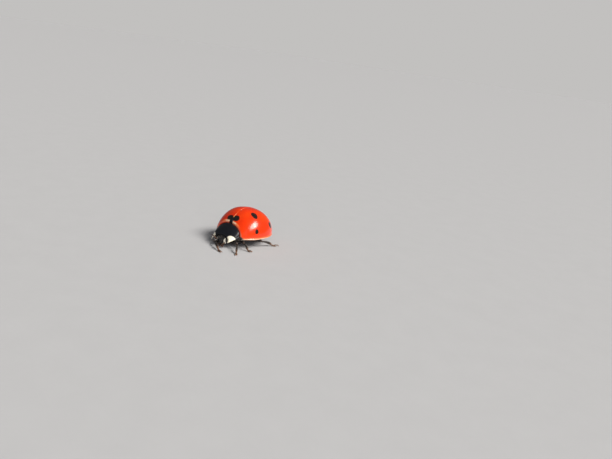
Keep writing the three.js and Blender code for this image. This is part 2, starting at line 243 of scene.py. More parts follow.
def add_piece(name, shape, nodes, material, patches=None):
    """Makes the piece, rides it on the one body and hides the CAD nodes that it stands for."""
    points = (np.vstack(shape.points) + PLACE) * MM
    mesh = bpy.data.meshes.new(name)
    mesh.from_pydata(points.tolist(), [], [face for faces in shape.faces for face in faces.tolist()])
    for key, spans in shape.values.items():
        full = np.zeros(len(points), np.float32)
        for start, value in spans:
            full[start:start + len(value)] = value
        mesh.attributes.new(key, "FLOAT", "POINT").data.foreach_set("value", full)
    if patches is not None:
        layer = mesh.uv_layers.new(name="OFBake")
        corners = np.zeros(len(mesh.loops), np.int32)
        mesh.loops.foreach_get("vertex_index", corners)
        layer.data.foreach_set("uv", patches[corners].astype(np.float32).reshape(-1))
    mesh.polygons.foreach_set("use_smooth", np.ones(len(mesh.polygons), bool))
    mesh.materials.append(material)
    mesh.update()
    piece = new_object(name, mesh)
    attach(piece, "root")
    if nodes:
        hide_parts(*nodes)


def rings_along(path, wide, deep, up, around=24, square=1.0):
    """Oval rings round a path: wide is each ring's half width, deep its half depth towards up."""
    tangent = unit(np.gradient(path, axis=0))
    side = unit(np.cross(tangent, np.broadcast_to(up, path.shape)))
    over = np.cross(side, tangent)
    angle = np.linspace(0, 2 * math.pi, around, endpoint=False)
    across = np.sign(np.cos(angle)) * np.abs(np.cos(angle)) ** square
    upward = np.sign(np.sin(angle)) * np.abs(np.sin(angle)) ** square
    wide = np.broadcast_to(wide, len(path))[:, None, None]
    deep = np.broadcast_to(deep, len(path))[:, None, None]
    offset = side[:, None] * across[None, :, None] * wide + over[:, None] * upward[None, :, None] * deep
    return path[:, None] + offset, angle


def ends(s, near, far):
    """Rounds a rod's two ends over the given shares of it: nearly 0 at s = 0 and s = 1, and 1 between."""
    return np.maximum(quarter_round(s / near) * quarter_round((1 - s) / far), 0.02)


def crowded(steps):
    """From 0 to 1 in steps that are smallest at both ends."""
    return (1 - np.cos(np.linspace(0, math.pi, steps))) / 2


def stations(path_points, steps):
    """Points along a smooth line, closest at its ends, and their share of the way."""
    s = crowded(steps)
    line = curve(path_points, 200)
    at = s * (len(line) - 1)
    return np.stack([np.interp(at, np.arange(len(line)), line[:, k]) for k in range(3)], -1), s


# ---- setae
class Coat:
    """Fine hairs over several surfaces, joined into one mesh. Each surface has its own part of the map."""

    PATCH = 0.003  # how far across the map one hair reaches
    MARGIN = 0.03  # bare share at each edge of a surface's part of the map
    SCATTER = 0.35  # how far the hairs' lie strays

    def __init__(self, seed, cells):
        self.random = np.random.default_rng(seed)
        self.shape = Shape()
        self.maps = []
        self.side = math.ceil(math.sqrt(cells))
        self.used = 0

    def cover(self, net, count, length, thick=0.002, lean=0.6, closed=True, allow=None, towards=None):
        """Sets hairs on a net. allow(points) is a place's chance; towards replaces the lie down the rows."""
        normals = outward_normals(net, closed)
        if closed:
            net = np.concatenate([net, net[:, :1]], 1)
            normals = np.concatenate([normals, normals[:, :1]], 1)
        down, right = np.diff(net, axis=0)[:, :-1], np.diff(net, axis=1)[:-1]
        area = np.linalg.norm(np.cross(down, right), axis=-1)
        if allow is not None:
            area = area * allow(net[:-1, :-1])
        chosen = self.random.choice(area.size, count, p=(area / area.sum()).reshape(-1))
        row, column = np.divmod(chosen, area.shape[1])
        a, b = self.random.random(count)[:, None], self.random.random(count)[:, None]
        mixed = lambda grid: (
            (grid[row, column] * (1 - b) + grid[row, column + 1] * b) * (1 - a)
            + (grid[row + 1, column] * (1 - b) + grid[row + 1, column + 1] * b) * a
        )
        roots, out = mixed(net), unit(mixed(normals))
        lie = unit(down[row, column]) if towards is None else np.broadcast_to(towards, roots.shape)
        lie = lie + self.SCATTER * self.random.normal(size=roots.shape)
        lie = unit(lie - out * np.einsum("ij,ij->i", lie, out)[:, None])
        shares = np.hstack([column[:, None] + b, row[:, None] + a]) / area.shape[::-1]
        corner = np.array([self.used % self.side, self.used // self.side])
        places = (corner + self.MARGIN + (1 - 2 * self.MARGIN) * shares) / self.side
        self.used += 1
        self.grow(roots, out, lie, places, length, thick, lean)

    def grow(self, roots, out, lie, places, length, thick, lean):
        """Adds a bent, tapering, three-sided hair at each root."""
        count = len(roots)
        long = length * self.random.uniform(0.65, 1.25, count)[:, None]
        tilt = np.clip(lean + self.random.normal(size=(count, 1)) * 0.12, 0, 0.95)
        start = unit(out * (1 - tilt) + lie * tilt)
        finish = unit(out * (1 - tilt) * 0.45 + lie * (tilt + 0.25))
        middle = roots + start * long * 0.5
        tip = middle + finish * long * 0.5
        side = unit(np.cross(start, out + 0.3 * lie + point(0.01, 0.02, 0.0)))
        over = np.cross(side, start)
        points, maps = [], []
        for centre, share in ((roots - out * thick, 1.0), (middle, 0.7)):
            for k in range(3):
                turn = 2 * math.pi * k / 3
                offset = side * math.cos(turn) + over * math.sin(turn)
                points.append(centre + offset * thick * share)
                reach = self.PATCH * (0.5 if share == 1 else 0.25)
                maps.append(places + reach * np.array([math.cos(turn), math.sin(turn)]))
        points.append(tip)
        maps.append(places)
        faces = []
        for k in range(3):
            n = (k + 1) % 3
            faces += [[k, n, n + 3], [k, n + 3, k + 3], [k + 3, n + 3, 6]]
        faces.append([2, 1, 0])
        base = (np.arange(count) * 7)[:, None, None]
        joined = (np.array(faces)[None] + base).reshape(-1, 3)
        tone = np.repeat(self.random.random(count), 7)
        self.shape.add(np.stack(points, 1).reshape(-1, 3), joined, tone=tone)
        self.maps.append(np.stack(maps, 1).reshape(-1, 2))

    def finish(self, name, slot, material):
        add_piece(name, self.shape, (), material, patches=np.vstack(self.maps))


# ---- materials
class Paint:
    """One material's node tree, with short calls for the nodes that it uses."""

    def __init__(self, name, **sockets):
        self.material = bpy.data.materials.new(name)
        self.material.use_nodes = True
        self.tree = self.material.node_tree
        self.shader = self.tree.nodes["Principled BSDF"]
        for socket, value in sockets.items():
            self.shader.inputs[socket.replace("_", " ")].default_value = value

    def node(self, kind, inputs=(), **settings):
        made = self.tree.nodes.new(kind)
        for key, value in settings.items():
            setattr(made, key, value)
        for key, value in dict(inputs).items():
            self.feed(made.inputs[key], value)
        return made

    def feed(self, socket, value):
        if isinstance(value, bpy.types.NodeSocket):
            self.tree.links.new(value, socket)
        else:
            socket.default_value = value

    def place(self):
        return self.node("ShaderNodeTexCoord").outputs["Object"]

    def noise(self, per_mm, detail=3.0, roughness=0.5):
        """Noise with about per_mm bumps in each millimetre, 0 to 1."""
        inputs = {"Vector": self.place(), "Scale": per_mm / MM, "Detail": detail, "Roughness": roughness}
        return self.node("ShaderNodeTexNoise", inputs).outputs["Fac"]

    def cells(self, per_mm, low, high, feature="F1"):
        """0 to 1 as the distance in cells, about per_mm in each millimetre, goes from low to high."""
        inputs = {"Vector": self.place(), "Scale": per_mm / MM}
        distance = self.node("ShaderNodeTexVoronoi", inputs, feature=feature).outputs["Distance"]
        return self.spread(distance, low, high)

    def value(self, name):
        return self.node("ShaderNodeAttribute", attribute_name=name).outputs["Fac"]

    def math(self, operation, a, b):
        return self.node("ShaderNodeMath", {0: a, 1: b}, operation=operation).outputs[0]

    def spread(self, value, low, high, to_low=0.0, to_high=1.0):
        inputs = {"Value": value, "From Min": low, "From Max": high, "To Min": to_low, "To Max": to_high}
        return self.node("ShaderNodeMapRange", inputs, interpolation_type="SMOOTHSTEP").outputs["Result"]

    def patches(self, per_mm, detail=3, least=0.0, most=1.0):
        """Noise with soft-edged patches of two values."""
        return self.spread(self.noise(per_mm, detail), 0.3, 0.7, least, most)

    def mark(self, name, per_mm, uneven):
        """Signed distance to a mark, made a little uneven."""
        strays = self.math("SUBTRACT", self.noise(per_mm, 3), 0.5)
        return self.math("ADD", self.value(name), self.math("MULTIPLY", strays, uneven))

    def mix(self, share, a, b):
        made = self.node("ShaderNodeMix", data_type="RGBA")
        self.feed(made.inputs["Factor"], share)
        for key, colour in (("A", a), ("B", b)):
            socket = next(i for i in made.inputs if i.name == key and i.type == "RGBA")
            self.feed(socket, (*colour, 1.0) if isinstance(colour, tuple) else colour)
        return next(o for o in made.outputs if o.type == "RGBA")

    def finish(self, colour, roughness, *bumps):
        """bumps are (height, depth in millimetres), laid one on another."""
        self.feed(self.shader.inputs["Base Color"], colour)
        self.feed(self.shader.inputs["Roughness"], roughness)
        normal = None
        for height, depth in bumps:
            made = self.node("ShaderNodeBump", {"Height": height, "Distance": depth * MM, "Strength": 1.0})
            if normal is not None:
                self.feed(made.inputs["Normal"], normal)
            normal = made.outputs["Normal"]
        if normal is not None:
            self.feed(self.shader.inputs["Normal"], normal)
        return self.material


INK = (0.006, 0.006, 0.008)
INK_WARM = (0.014, 0.009, 0.007)
CREAM = (0.86, 0.78, 0.58)
SCARLET = (0.80, 0.034, 0.001)
VERMILION = (0.88, 0.060, 0.002)
BLOOD = (0.60, 0.020, 0.002)
# AMBER also paints the highlight along the seam; PALE_RIM, mixed with CREAM, also paints the sheen along the
# lower edge.
AMBER = (0.93, 0.42, 0.12)
PALE_RIM = (0.93, 0.55, 0.34)
CHESTNUT = (0.10, 0.034, 0.014)


def wing_case_paint():
    p = Paint("wing_case_lacquer", Coat_Weight=0.85, Coat_Roughness=0.15, IOR=1.4, Specular_IOR_Level=0.25)
    broad = p.spread(p.noise(0.5, 2), 0.35, 0.65)
    fine = p.spread(p.noise(7.0, 4), 0.35, 0.7)
    red = p.mix(broad, SCARLET, VERMILION)
    red = p.mix(p.math("MULTIPLY", fine, 0.35), red, BLOOD)
    pits = p.cells(13.0, 0.02, 0.22)
    # Painted shade: the pits' centres are darkened towards BLOOD.
    red = p.mix(p.math("MULTIPLY", p.math("SUBTRACT", 1.0, pits), 0.3), red, BLOOD)
    spotted = p.mix(p.spread(p.mark("spot", 5.0, 0.07), -0.018, 0.018), INK_WARM, red)
    # The amber value holds an orange tint and a painted highlight along the seam; the pale value holds the
    # cream patches and a painted sheen and highlight along the edges.
    amber = p.mix(p.value("amber"), spotted, AMBER)
    colour = p.mix(p.value("pale"), amber, p.mix(p.noise(3.0, 2), PALE_RIM, CREAM))
    rough = p.patches(12.0, 3, 0.26, 0.36)
    return p.finish(colour, rough, (p.noise(1.4, 2), 0.01), (pits, 0.0012), (p.noise(30.0, 2), 0.0006))


def shield_paint():
    p = Paint("shield_lacquer", Coat_Weight=0.45, Coat_Roughness=0.09, IOR=1.42, Specular_IOR_Level=0.25)
    dark = p.mix(p.noise(4.0, 3), INK, (0.012, 0.013, 0.018))
    light = p.mix(p.patches(2.5), CREAM, (0.93, 0.88, 0.74))
    colour = p.mix(p.spread(p.mark("patch", 6.0, 0.035), -0.016, 0.016), light, dark)
    mesh = p.cells(45.0, 0.0, 0.1, "DISTANCE_TO_EDGE")
    pits = p.cells(12.0, 0.02, 0.2)
    rough = p.patches(15.0, 3, 0.34, 0.46)
    return p.finish(colour, rough, (p.noise(2.0, 2), 0.008), (pits, 0.0015), (mesh, 0.0003))


def body_paint(name, warm=INK_WARM):
    """Black cuticle. The value brown turns thin parts brown and the value patch shows pale marks."""
    p = Paint(name, Coat_Weight=0.3, Coat_Roughness=0.22, IOR=1.5)
    dark = p.mix(p.noise(5.0, 3), INK, warm)
    brown = p.mix(p.patches(9.0), CHESTNUT, (0.28, 0.11, 0.04))
    light = p.mix(p.noise(4.0, 2), (0.88, 0.82, 0.66), (0.94, 0.90, 0.78))
    colour = p.mix(p.value("brown"), dark, brown)
    colour = p.mix(p.spread(p.mark("patch", 9.0, 0.04), 0.012, -0.012), colour, light)
    pits = p.cells(16.0, 0.02, 0.22)
    mesh = p.cells(50.0, 0.0, 0.1, "DISTANCE_TO_EDGE")
    rough = p.patches(18.0, 3, 0.32, 0.5)
    return p.finish(colour, rough, (p.noise(6.0, 3), 0.006), (pits, 0.003), (mesh, 0.0008))


def eye_paint():
    p = Paint("eye_glass", Coat_Weight=0.9, Coat_Roughness=0.06, IOR=1.5)
    colour = p.mix(p.patches(5.0), (0.004, 0.004, 0.005), (0.02, 0.012, 0.009))
    rough = p.patches(25.0, 2, 0.18, 0.28)
    return p.finish(colour, rough, (p.noise(40.0, 2), 0.0006))


def claw_paint():
    p = Paint("claw_horn", Coat_Weight=0.5, Coat_Roughness=0.15, IOR=1.52)
    colour = p.mix(p.value("brown"), (0.03, 0.012, 0.006), (0.34, 0.13, 0.04))
    rough = p.patches(25.0, 2, 0.25, 0.38)
    return p.finish(colour, rough, (p.noise(30.0, 3), 0.001))


def hair_paint(name, dark, light):
    p = Paint(name, IOR=1.45)
    return p.finish(p.mix(p.value("tone"), dark, light), p.patches(20.0, 2, 0.42, 0.6))


# ---- the dome of the wing cases
def fall(away, inside, root):
    """Falls from 1 to 0 as away goes from 0 to 1, along a curve of the given squareness."""
    return (1 - np.clip(away, 0, 1) ** inside) ** root


def dome_half_width(y, inset=0.0):
    d = DOME
    back = fall((y - d.widest_y) / (d.apex_y - inset - d.widest_y), *d.plan_back)
    front = fall((d.widest_y - y) / (d.widest_y - d.front_end_y), *d.plan_front)
    return (d.half_width - inset) * np.minimum(back, front)


def dome_height(y, inset=0.0):
    d = DOME
    back = fall((y - d.highest_y) / (d.apex_y - inset - d.highest_y), *d.profile_back)
    front = fall((d.highest_y - y) / (d.highest_y - d.profile_end_y), *d.profile_front)
    return (d.height - inset) * np.minimum(back, front)


def dome_point(y, turn, inset=0.0, under=0.0):
    """A point of the dome; turn is 0 at the top and a right angle at the lower edge."""
    across, up = np.sin(turn), np.cos(turn)
    tall = np.where(up > 0, dome_height(y, inset), under)
    near_base = np.clip((DOME.widest_y - y) / (DOME.widest_y - DOME.base_y), 0, 1)
    ahead = DOME.shoulder_ahead * near_base**4 * np.abs(across) ** 2.2
    x = dome_half_width(y, inset) * np.sign(across) * np.abs(across) ** DOME.square
    z = DOME.margin_z + np.sign(up) * tall * np.abs(up) ** DOME.square
    return xyz(x, y - ahead, z)


def beside_scutellum(y):
    return SCUTELLUM.half * np.clip(1 - (y - DOME.base_y) / SCUTELLUM.length, 0, 1)


def turn_at(x, y, inset=0.0):
    wide = np.maximum(dome_half_width(y, inset), 1e-6)
    return np.arcsin(np.clip(x / wide, 0, 1) ** (1 / DOME.square))


# y, turn in degrees, half length across and half length along of each wing case's own spots.
SPOTS = ((0.42, 33.0, 0.43, 0.34), (-0.01, 72.0, 0.26, 0.21), (2.38, 61.5, 0.38, 0.33))
# The spot behind the scutellum is shared by both wing cases: a lobe on each side of the seam.
SHARED_SPOT = Sizes(y=-1.1, uneven=0.05, lobe=0.35, half_wide=0.45, half_long=0.36)


def spot_distance(points, side):
    """Signed distance to the nearest black spot, below 0 inside, in millimetres."""
    flipped = points * point(side, 1, 1)
    places = [(y, math.radians(turn), wide, long) for y, turn, wide, long in SPOTS]
    shared_y = SHARED_SPOT.y + SHARED_SPOT.uneven * side
    places.append((shared_y, 0.0, SHARED_SPOT.half_wide, SHARED_SPOT.half_long))
    nearest = np.full(points.shape[:-1], np.inf)
    for number, (y, turn, half_wide, half_long) in enumerate(places):
        step = 0.01
        centre = dome_point(y, turn)
        across = unit(dome_point(y, turn + step) - dome_point(y, turn - step))
        along = dome_point(y + step, turn) - dome_point(y - step, turn)
        along = unit(along - across * (along @ across))
        u, v = (flipped - centre) @ across, (flipped - centre) @ along
        if number == len(SPOTS):
            u = np.abs(u) - SHARED_SPOT.lobe
        bearing = np.arctan2(v, u)
        uneven = 1 + 0.05 * np.cos(2 * bearing + 1.7 * number)
        uneven += 0.04 * np.cos(3 * bearing + 2.3 * number + side)
        away = (np.hypot(u / half_wide, v / half_long) / uneven - 1) * min(half_wide, half_long)
        off = np.abs((flipped - centre) @ np.cross(across, along))
        nearest = np.minimum(nearest, away + 0.2 * off)
    return np.clip(nearest, -UNMARKED, UNMARKED)


def from_start(net):
    """How far along its row each point of a net lies from the row's first point."""
    steps = np.linalg.norm(np.diff(net, axis=1), axis=-1)
    return np.concatenate([np.zeros((len(net), 1)), np.cumsum(steps, axis=1)], axis=1)


def from_first_row(net):
    return from_start(net.transpose(1, 0, 2)).T


def wall(thin, y):
    """A shell's thickness: thin, and more where it turns down at its base."""
    t = THICKER_BASE
    return thin + t.more * smooth(y - DOME.base_y, t.fades_to, t.fades_from)


def wing_case_nets(rows, columns, under):
    """The left wing case from the seam out: its outside, its lower edge turned in, and its inside."""
    w = WING_CASE
    s = np.linspace(0, 1, columns)[None]
    first_y = DOME.base_y + w.shoulder_round * smooth(s, 0.84, 1.0) ** 2
    y = first_y + (DOME.apex_y - first_y) * np.sin(np.linspace(0, 0.996, rows) * RIGHT_ANGLE)[:, None]

    # The turned-in edge is as wide as the flank allows and narrows to the hind tip.
    edge_y = y[:, -1:]
    edge_wide = w.edge_wide * fall((edge_y - w.edge_narrows_y) / (DOME.apex_y - w.edge_narrows_y), 1.5, 0.7)
    edge_wide = np.minimum(edge_wide, 0.8 * dome_half_width(edge_y)) + 0.01
    thick = wall(w.wall, y)
    inner_inset = thick + (edge_wide - thick) * s**8

    def layer(inset):
        first_turn = turn_at(beside_scutellum(y), y, inset)
        return dome_point(y, first_turn + (RIGHT_ANGLE - first_turn) * s, inset)

    outer, inside = layer(0.0), layer(inner_inset)
    inside_z = np.where(dome_half_width(y, inner_inset) > 0, inside[..., 2], DOME.margin_z)
    inside[..., 2] = inside_z + w.edge_rise * s**8
    inward = np.linspace(0, 1, under + 2)[None, 1:-1]
    lip, inner_lip = outer[:, -1:], inside[:, -1:]
    x = lip[..., 0] + (inner_lip[..., 0] - lip[..., 0]) * inward
    z = lip[..., 2] + w.edge_rise * inward**1.3 - 0.03 * np.sin(np.clip(inward * 5, 0, 1) * math.pi)
    return y, outer, xyz(x, lip[..., 1], z), inside


def wing_case_faces(rows, columns, under):
    """The faces of the rings that the three nets form, and those across the front and the hind end."""
    total = 2 * columns + under
    strip = np.arange(columns - 1)
    foot = np.arange(columns - 1, columns + under - 1)  # the one triangle beside the inner lip stays open
    fan = np.stack([np.full(len(foot) - 1, columns + under), foot[:-1], foot[1:]], -1)
    across = np.stack([strip, strip + 1, total - 2 - strip, total - 1 - strip], -1)
    last = (rows - 1) * total
    return [net_faces(rows, total, closed=True), across[:, ::-1], fan[:, ::-1], across + last, fan + last]


def wing_case_relief(outer, side, from_seam, from_base, to_edge):
    """The raised rim and the groove inside it, the rounded edges and slight unevenness, in millimetres."""
    rim = 0.03 * bell(to_edge - 0.05, 0.04) - 0.022 * bell(to_edge - 0.16, 0.05)
    rounded = 0.014 * bell(from_seam, 0.02) + 0.02 * bell(from_base, 0.03)
    return rim - rounded + 0.007 * ripple(outer, 1.3, 11 + side) + 0.0016 * ripple(outer, 0.35, 21 + side)


def wing_case_marks(outer, y, from_seam, from_base, to_edge):
    """How pale and how amber each place is, from 0 to 1, painted sheen and highlights included. Lengths are
    in millimetres, turned in degrees.
    """
    turned = np.degrees(np.arcsin(np.clip(outer[..., 0] / dome_half_width(y), 0, 1)))
    beside = smooth(turned, 5, 8) * (0.45 + 0.55 * smooth(from_base, 0.0, 0.03))
    corner = beside * smooth(turned, 27, 19) * smooth(from_base, 0.17, 0.11)
    # A thin pale line along the base; towards the shoulder it rises into a painted highlight.
    base_line = beside * smooth(from_base, 0.06, 0.03) * (0.3 + 0.6 * smooth(turned, 62, 76))
    # A painted sheen along the lower edge, fading towards the hind end: light reflected there, not the wing
    # case's own colour.
    rim = smooth(to_edge, 0.11, 0.05) * (1 - 0.9 * smooth(y, 0.9, 2.2))
    pale = np.maximum(corner, np.maximum(0.75 * rim, base_line))
    behind_scutellum = y > DOME.base_y + SCUTELLUM.length * 0.9
    # A painted highlight: a thin pale-orange line along the seam behind the scutellum.
    seam_highlight = smooth(from_seam, 0.036, 0.02) * (1 - 0.8 * smooth(y, -0.8, -0.35)) * smooth(y, 1.2, 0.2)
    glow = beside * smooth(turned, 50, 24) * smooth(from_base, 0.26, 0.12)
    amber = np.maximum(seam_highlight * behind_scutellum, np.maximum(0.5 * glow, 0.25 * smooth(to_edge, 0.3, 0.08)))
    return pale, amber


def wing_case(name, side, paint):
    rows, columns, under = 230, 150, 22
    y, outer, turned_in, inside = wing_case_nets(rows, columns, under)
    from_seam, from_base = from_start(outer), from_first_row(outer)
    to_edge = from_seam[:, -1:] - from_seam
    fading = np.clip(dome_half_width(y) / 0.5, 0, 1)  # to 0 at the hind tip
    raised = wing_case_relief(outer, side, from_seam, from_base, to_edge) * fading
    lifted = outer + outward_normals(outer) * raised[..., None]
    net = np.concatenate([lifted, turned_in, inside[:, ::-1]], 1)
    net[..., 0] = side * (net[..., 0] + HAIRLINE / 2)

    def row_values(outside, edge, within):
        parts = ((outside, columns), (edge, under), (within, columns))
        return np.concatenate([np.broadcast_to(value, (rows, wide)) for value, wide in parts], 1)

    spot = spot_distance(outer * point(side, 1, 1), side)
    pale, amber = wing_case_marks(outer, y, from_seam, from_base, to_edge)
    values = {
        "spot": row_values(spot, UNMARKED, UNMARKED),
        # The turned-in edge takes the painted pale sheen as well.
        "pale": row_values(pale, 0.55 * fading[:, -1:], 0.0),
        "amber": row_values(amber, 0.7 * fading[:, -1:], 0.0),
    }
    shape = Shape()
    shape.add(net, *wing_case_faces(rows, columns, under), **values)
    add_piece(f"wing_case_{name}", shape, [f"elytron_{name}"], paint)


def scutellum_plate(paint):
    rows, columns = 40, 40
    y = DOME.base_y + np.linspace(0, 1, rows)[:, None] * (SCUTELLUM.length - 0.05)
    half = turn_at(np.maximum(0.004, beside_scutellum(y) - 0.015), y)
    s = np.linspace(-1, 1, columns)[None]
    outer = dome_point(y, half * s)
    domed = 0.012 * (1 - s**2) * np.sin(np.linspace(0.1, 1, rows)[:, None] * math.pi) - 0.02
    middle = point(0, 0.5, 1.2)
    outer = outer + unit(outer - middle) * (domed + 0.004 * ripple(outer, 0.15, 5))[..., None]
    inner = outer - unit(outer - middle) * wall(SCUTELLUM.wall, y)[..., None]
    shape = Shape()
    shape.add_plate(outer, inner, patch=UNMARKED)
    add_piece("scutellum_plate", shape, ["scutellum"], paint)


# ---- the pronotum
def shield_point(across, ahead, inset=0.0):
    """across is -1 to 1 over the shield, ahead 0 at its hind edge and 1 at its front edge."""
    p = SHIELD
    curved_taper = p.base_half - p.front_half - p.side_taper
    edge_x = p.base_half - p.side_taper * ahead - curved_taper * ahead**2 - inset
    edge_z = p.edge_base_z - p.edge_drop * ahead
    top_z = p.top_base_z - p.top_drop * (0.8 * ahead + 0.2 * ahead**2) - inset
    turn = across * RIGHT_ANGLE
    swept = (p.shoulder_back + (p.corner_ahead - p.shoulder_back) * ahead) * np.abs(across) ** p.sweep
    y = p.base_y - p.length * ahead - swept
    z = edge_z + (top_z - edge_z) * np.cos(turn) ** p.arch
    return xyz(edge_x * np.sin(turn), y, z)


def corner_patch(across, ahead):
    """Signed distance to the pale patch that fills the shield's front corner, in millimetres."""
    inner = (0.50 + 0.20 * (1 - ahead) - np.abs(across)) * 1.75
    hind = (0.81 - 1.02 * (np.abs(across) - 0.55) - ahead) * 0.88
    soft = 0.05
    return soft * np.log(np.exp(inner / soft) + np.exp(hind / soft))


def shield_plate(paint):
    rows, columns = 130, 260
    ahead = crowded(rows)[:, None]
    across = np.linspace(-1, 1, columns)[None]
    outer = shield_point(across, ahead)
    to_side = np.minimum(from_start(outer), from_start(outer[:, ::-1])[:, ::-1])
    from_hind = from_first_row(outer)
    to_front = from_hind[-1:] - from_hind
    raised = 0.012 * bell(to_side - 0.06, 0.04) - 0.010 * bell(to_side - 0.15, 0.05)
    raised -= 0.03 * bell(to_front, 0.05) + 0.05 * bell(from_hind, 0.06) + 0.04 * bell(to_side, 0.045)
    raised += 0.007 * ripple(outer, 0.8, 31) + 0.0016 * ripple(outer, 0.25, 32)
    outer = outer + outward_normals(outer) * raised[..., None]
    inner = shield_point(across, ahead, inset=0.2 - 0.13 * ahead)
    shape = Shape()
    shape.add_plate(rolled(outer), rolled(inner), patch=corner_patch(across, ahead))
    add_piece("pronotum_plate", shape, ["pronotum"], paint)


# ---- the underside
def belly_under(y, inset):
    b = BELLY
    away = np.abs(y - b.deepest_y) / (DOME.apex_y - b.deepest_y)
    narrow = np.minimum(1, dome_half_width(y, inset) / b.narrow_below)
    return b.deep * np.clip(1 - away**b.flatten, 0, 1) * narrow


HIPS = {"front": (0.42, -1.74), "middle": (0.72, -0.72), "hind": (0.8, 0.4)}  # the left ones' x and y
VENTRITES = (0.78, 1.42, 1.9, 2.32, 2.7, 3.02, 3.3)  # where each ring of the belly starts


def trunk_relief(x, y):
    """How far the plates of the underside stand out or in, in millimetres."""
    flank = np.abs(x)
    bowed = y + 0.05 * flank**2
    relief = np.zeros_like(x)
    for start, end in zip(VENTRITES, VENTRITES[1:]):
        share = np.clip((bowed - start) / (end - start), 0, 1)
        relief += np.where((bowed >= start) & (bowed < end), 0.05 * share**1.5 - 0.008, 0)

    # The grooves of the chest: down its middle, across it and along each flank.
    chest = y < VENTRITES[0]
    relief -= 0.03 * bell(flank, 0.02) * smooth(y, -0.45, -0.3) * chest
    relief -= 0.035 * bell(y + 0.5 + 0.1 * flank, 0.025) * chest
    relief -= 0.03 * bell(flank - 1.42 + 0.12 * y, 0.025) * chest * smooth(y, -0.6, -0.5)

    # The pits of the middle and hind hips, with raised rims.
    for hip_x, hip_y in (HIPS["middle"], HIPS["hind"]):
        away = np.hypot((flank - hip_x) / 1.5, y - hip_y)
        relief += 0.025 * bell(away - 0.33, 0.05) - 0.10 * smooth(away, 0.3, 0.16)

    # A curved line on the belly's first ring, behind each hind hip.
    from_middle = np.abs(flank - 0.85)
    line_y = 1.3 - 0.42 * np.clip(from_middle / 0.6, 0, 1) ** 2
    return relief - 0.018 * bell(y - line_y, 0.02) * (from_middle < 0.6)


def underside_skin(paint):
    rows, above, below = 300, 40, 240
    inset, first_y = BELLY.inset, BELLY.first_y
    long = DOME.apex_y - inset - first_y
    y = first_y + long * np.sin(np.linspace(0, 0.99, rows) * RIGHT_ANGLE)[:, None]
    turn = np.concatenate([
        np.linspace(-RIGHT_ANGLE, RIGHT_ANGLE, above, endpoint=False),
        np.linspace(RIGHT_ANGLE, 3 * RIGHT_ANGLE, below, endpoint=False),
    ])[None]
    net = dome_point(y, turn, inset, belly_under(y, inset))
    half_width = dome_half_width(y, inset)
    relief = trunk_relief(net[..., 0], net[..., 1]) + 0.004 * ripple(net, 0.3, 41)
    relief *= smooth(DOME.margin_z - net[..., 2], 0.0, 0.12) * np.clip(half_width / 0.5, 0, 1)
    net = net + outward_normals(net, closed=True) * relief[..., None]
    flank, net_y = np.abs(net[..., 0]), net[..., 1]
    # A pale plate on each side of the chest, and a brown edge along the belly.
    pale = np.maximum(np.abs(net_y + 0.98) - 0.2, 1.52 - flank)
    pale = np.where(np.abs(np.sin(turn)) > 0.3, pale, UNMARKED)
    brown = 0.35 * smooth(flank / np.maximum(half_width, 0.1), 0.86, 1.0) * (net_y > 0.8)
    shape = Shape()
    shape.add_rings(net, patch=np.clip(pale, -UNMARKED, UNMARKED), brown=brown)
    chest = prothorax_rings()
    shape.add_rings(chest, patch=UNMARKED, brown=0.0)
    add_piece("underside_skin", shape, ["prothorax", "thorax", "abdomen"], paint)
    return net, chest


def prothorax_rings():
    """What fills the shield and carries the front legs, from its hind face to the neck."""
    p = PROTHORAX
    rows, columns = 70, 200
    along = np.linspace(0, 1, rows)[:, None]
    ahead = p.reach * along
    angle = np.linspace(-math.pi, math.pi, columns, endpoint=False)[None]
    top = shield_point(np.clip(angle / RIGHT_ANGLE, -1, 1), ahead, p.inset)
    side = shield_point(np.sign(angle), ahead, p.inset)
    turn = np.clip(np.abs(angle) - RIGHT_ANGLE, 0, RIGHT_ANGLE)
    low_z = side[..., 2] - (side[..., 2] - p.low_z) * np.sin(turn) ** 0.7
    lower = xyz(side[..., 0] * np.cos(turn), side[..., 1], low_z)
    net = np.where((np.abs(angle) <= RIGHT_ANGLE)[..., None], top, lower)
    centre = net.mean(1, keepdims=True)
    shrink = 0.65 + 0.35 * quarter_round((1 - along) / 0.2)
    net = centre + (net - centre) * shrink[..., None]

    # Two keels run down its middle, and each front hip has a pit.
    flank = np.abs(net[..., 0])
    from_hip = np.hypot(flank - HIPS["front"][0], net[..., 1] - HIPS["front"][1])
    down = 0.035 * bell(flank - 0.1, 0.03) - 0.08 * smooth(from_hip, 0.28, 0.16)
    net[..., 2] -= down * smooth(net[..., 2], 1.0, 0.7)
    return rolled(net)


# ---- the head
def head_point(angle, along):
    """angle is 0 at the middle of the face; along is -1 at the crown and 1 at the mouth."""
    h = HEAD
    rounded = np.sqrt(np.maximum(0, 1 - np.abs(along) ** 3))
    wide = h.half * rounded * (1 - h.taper * np.clip(along, 0, 1) ** 1.5)
    y = h.y - h.reach * rounded * np.cos(angle) - h.lean * along
    return xyz(wide * np.sin(angle), y, h.z - h.tall * along)


FACE_SPOT = Sizes(x=0.54, z=0.72, half_wide=0.10, half_tall=0.33, lean=0.18)
SOCKET = Sizes(x=0.5, z=0.60, radius=0.07)


